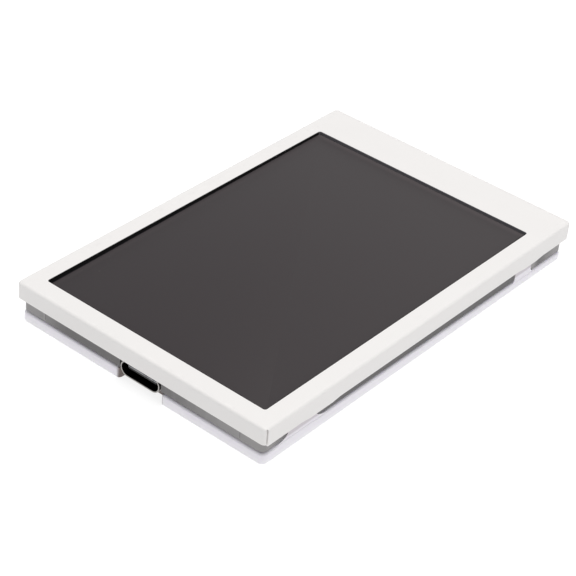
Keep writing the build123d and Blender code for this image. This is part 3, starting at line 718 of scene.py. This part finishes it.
def solderWing(bm, side, near, start, wing):  # an angle: a flat foot with its inner end turned down
    inner, bend, tip = (near + side * reach for reach in wing["reaches"])
    cube = block(bm, (min(inner, tip), start, wing["underside"]),
                 (max(inner, tip), start + wing["width"], wing["top"]))
    around = list({e for v in cube for e in v.link_edges} | {f for v in cube for f in v.link_faces})
    cut(bm, cube + around, (bend, 0, 0), (1, 0, 0))
    root = Vector(((inner + bend) / 2, start + wing["width"] / 2, wing["underside"]))
    base = [f for f in bm.faces if (f.calc_center_median() - root).length < tiny]
    turned = bmesh.ops.extrude_face_region(bm, geom=base)["geom"]
    bmesh.ops.delete(bm, geom=base, context="FACES_ONLY")
    ends = [v for v in turned if isinstance(v, bmesh.types.BMVert)]
    bmesh.ops.translate(bm, vec=(0, 0, wing["foot"] - wing["underside"]), verts=ends)


def portShell():
    shell = {"centre": (0.45 * mm, 3.03 * mm), "size": (8.94 * mm, 3.16 * mm), "wall": 0.25 * mm,
             "front": -43.4 * mm, "depth": 7.35 * mm, "back": 0.25 * mm,
             "lip": 0.07 * mm, "lipTurn": 0.021 * mm}
    wing = {"reaches": (3.9 * mm, 4.2 * mm, 5.6 * mm), "width": 1.2 * mm, "foot": 3.9 * mm,
            "underside": 4.8 * mm, "top": 5.0 * mm, "starts": (2.6 * mm, 5.2 * mm)}
    x, z = shell["centre"]
    middle = (x, -z)
    outer, lip, turn = shell["size"], shell["lip"], shell["lipTurn"]
    inner = tuple(side - 2 * shell["wall"] for side in outer)
    front, back = shell["front"], shell["front"] + shell["depth"]
    bm = slotTube((
        slotRow(outer, 0, back, middle),
        slotRow(outer, 0, front + lip, middle),
        slotRow(outer, -turn, front + turn, middle),
        slotRow(outer, -lip, front, middle),
        slotRow(inner, lip, front, middle),
        slotRow(inner, turn, front + turn, middle),
        slotRow(inner, 0, front + lip, middle),
        slotRow(inner, 0, back - shell["back"], middle),
    ))
    for side in (-1, 1):
        for start in wing["starts"]:
            solderWing(bm, side, x, front + start, wing)
    bmesh.ops.recalc_face_normals(bm, faces=bm.faces)
    return finished(bm, "portShell", "usb_shell")


def portTongue():
    tongue = {"centre": (0.45 * mm, 3.03 * mm), "blade": (6.69 * mm, 0.7 * mm),
              "tipRound": 0.24 * mm, "carrier": (8.4 * mm, 2.62 * mm), "carrierDepth": 2.15 * mm,
              "edgeRound": 0.04 * mm}
    low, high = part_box("usb_tongue")
    x, z = tongue["centre"]
    halfX, halfZ = (side / 2 for side in tongue["blade"])
    carrierFront = high.y - tongue["carrierDepth"]
    bm = slotTube([slotRow(tongue["carrier"], 0, y, (x, -z)) for y in (carrierFront, high.y)])
    block(bm, (x - halfX, low.y, z - halfZ), (x + halfX, carrierFront, z + halfZ))
    front = min(bm.faces, key=lambda face: face.calc_center_median().y)
    bevelEdges(bm, front.edges[:], tongue["tipRound"], 5)
    return finished(bm, "portTongue", "usb_tongue", tongue["edgeRound"])


made = [
    bezelShell(),
    trimRing(),
    plate("top_polariser", "screenFace", 0.1 * mm, 0.02 * mm),
    plate("rear_label", "rearLabelSheet", 1.0 * mm, 0.03 * mm),
    portShell(),
    portTongue(),
    refined("rear_tray", "trayShell", 0.06 * mm),
    refined("mid_frame", "midFrameRing", 0.06 * mm),
]
print("pieces made:", len(made))


# floor, light and camera

def studio():
    light = {
        "world": (0.96, 0.98, 1.0), "worldStrength": 0.50,
        "key": {"place": (0.02, 0.06, 0.9), "size": 0.7, "power": 5.9, "colour": (1, 0.985, 0.965)},
        "fill": {"place": (0.8, 0.15, 0.5), "size": 0.6, "power": 0.4, "colour": (0.97, 0.98, 1)},
    }
    world = bpy.data.worlds.new("studio")
    bpy.context.scene.world = world
    world.use_nodes = True
    background = world.node_tree.nodes["Background"]
    background.inputs["Color"].default_value = (*light["world"], 1)
    background.inputs["Strength"].default_value = light["worldStrength"]
    for name in ("key", "fill"):
        lamp = bpy.data.lights.new(name, "AREA")
        lamp.size = light[name]["size"]
        lamp.energy = light[name]["power"]
        lamp.color = light[name]["colour"]
        holder = bpy.data.objects.new(name, lamp)
        bpy.context.scene.collection.objects.link(holder)
        place = Vector(light[name]["place"])
        holder.location = place
        holder.rotation_euler = (-place).to_track_quat("-Z", "Y").to_euler()


def floor():
    ground = {"half": 3.0, "below": 0.02 * mm, "colour": (0.30, 0.30, 0.30), "glow": 0.81}
    bm = bmesh.new()
    bmesh.ops.create_grid(bm, x_segments=1, y_segments=1, size=ground["half"])
    bmesh.ops.translate(bm, vec=(0, 0, -ground["below"]), verts=bm.verts)
    mesh = bpy.data.meshes.new("floor")
    bm.to_mesh(mesh)
    bm.free()
    plane = bpy.data.objects.new("floor", mesh)
    bpy.context.scene.collection.objects.link(plane)
    pale = Finish("paleFloor", ground["colour"], 0.9, Specular_IOR_Level=0.0,
                  Emission_Color=(1, 1, 1), Emission_Strength=ground["glow"])
    mesh.materials.append(pale.material)


def camera():
    shot = {"azimuth": 37.26, "elevation": 34.99, "roll": 5.21, "lens": 122.54, "sensor": 36,
            "nearest": 0.01,
            "place": (176.0, -235.54, 197.12)}  # the place is from the middle of the bezel's top
    a, e, r = (math.radians(shot[key]) for key in ("azimuth", "elevation", "roll"))
    ahead = Vector((-math.sin(a) * math.cos(e), math.cos(a) * math.cos(e), -math.sin(e)))
    level = Vector((math.cos(a), math.sin(a), 0))
    rise = level.cross(ahead)
    right = level * math.cos(r) + rise * math.sin(r)
    up = rise * math.cos(r) - level * math.sin(r)
    data = bpy.data.cameras.new("camera")
    data.lens = shot["lens"]
    data.sensor_width = shot["sensor"]
    data.clip_start = shot["nearest"]
    view = bpy.data.objects.new("camera", data)
    bpy.context.scene.collection.objects.link(view)
    turn = Matrix((right, up, -ahead)).transposed().to_4x4()
    top = Vector((0, 0, cadBox[1].z))
    view.matrix_world = Matrix.Translation(Vector(shot["place"]) * mm + top) @ turn
    bpy.context.scene.camera = view


studio()
floor()
camera()
bpy.context.scene.view_settings.view_transform = "Standard"
print("studio ready")
